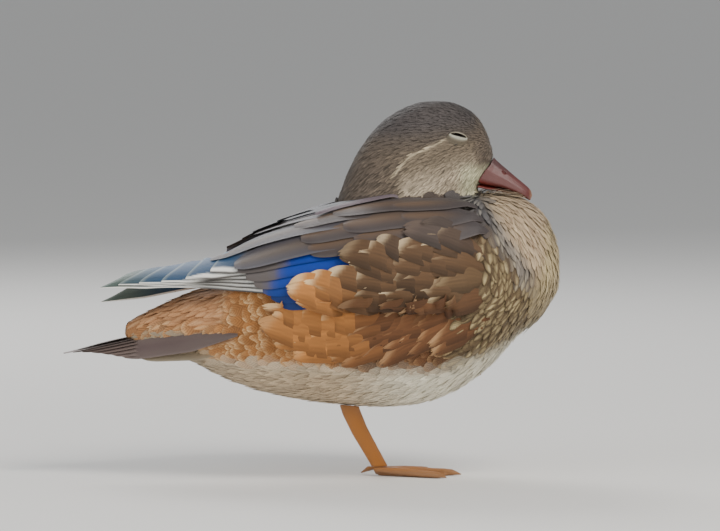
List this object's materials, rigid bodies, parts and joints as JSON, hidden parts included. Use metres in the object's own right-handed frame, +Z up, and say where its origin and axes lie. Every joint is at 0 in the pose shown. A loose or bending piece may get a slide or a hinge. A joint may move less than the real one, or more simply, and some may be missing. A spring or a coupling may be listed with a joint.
{
  "type": "mandarin duck",
  "caption": "Life-size mandarin duck drake in plain summer plumage, dozing with the left foot drawn up and the head sunk on the breast, wings folded over a wedge tail.",
  "frame": {"origin": "on the floor under the sole of the standing right foot, below the middle toe", "axes": "+X the way the duck faces, +Y its left side, +Z up"},
  "size_m": [0.2845, 0.1332, 0.2152],
  "materials": {
    "body_plumage": "soft brown, buff and white contour feathers",
    "head_plumage": "fine grey-brown feathers, matt",
    "wing_feathers": "grey-brown vanes with a blue speculum, satin",
    "tail_feathers": "brown vanes with chestnut coverts, satin",
    "bill": "dull red horn, semi-gloss",
    "eye": "dark brown, wet gloss",
    "leg_skin": "orange scaly skin with dusky webs"
  },
  "bodies": {
    "root": {"bill_lower": "bill", "bill_upper": "bill", "eye_left": "eye", "eye_right": "eye", "foot_left": "leg_skin", "foot_right": "leg_skin", "head": "head_plumage", "leg_left": "leg_skin", "leg_right": "leg_skin", "neck": "head_plumage", "tail": "tail_feathers", "torso": "body_plumage", "wing_left": "wing_feathers", "wing_right": "wing_feathers"}
  },
  "joints": []
}
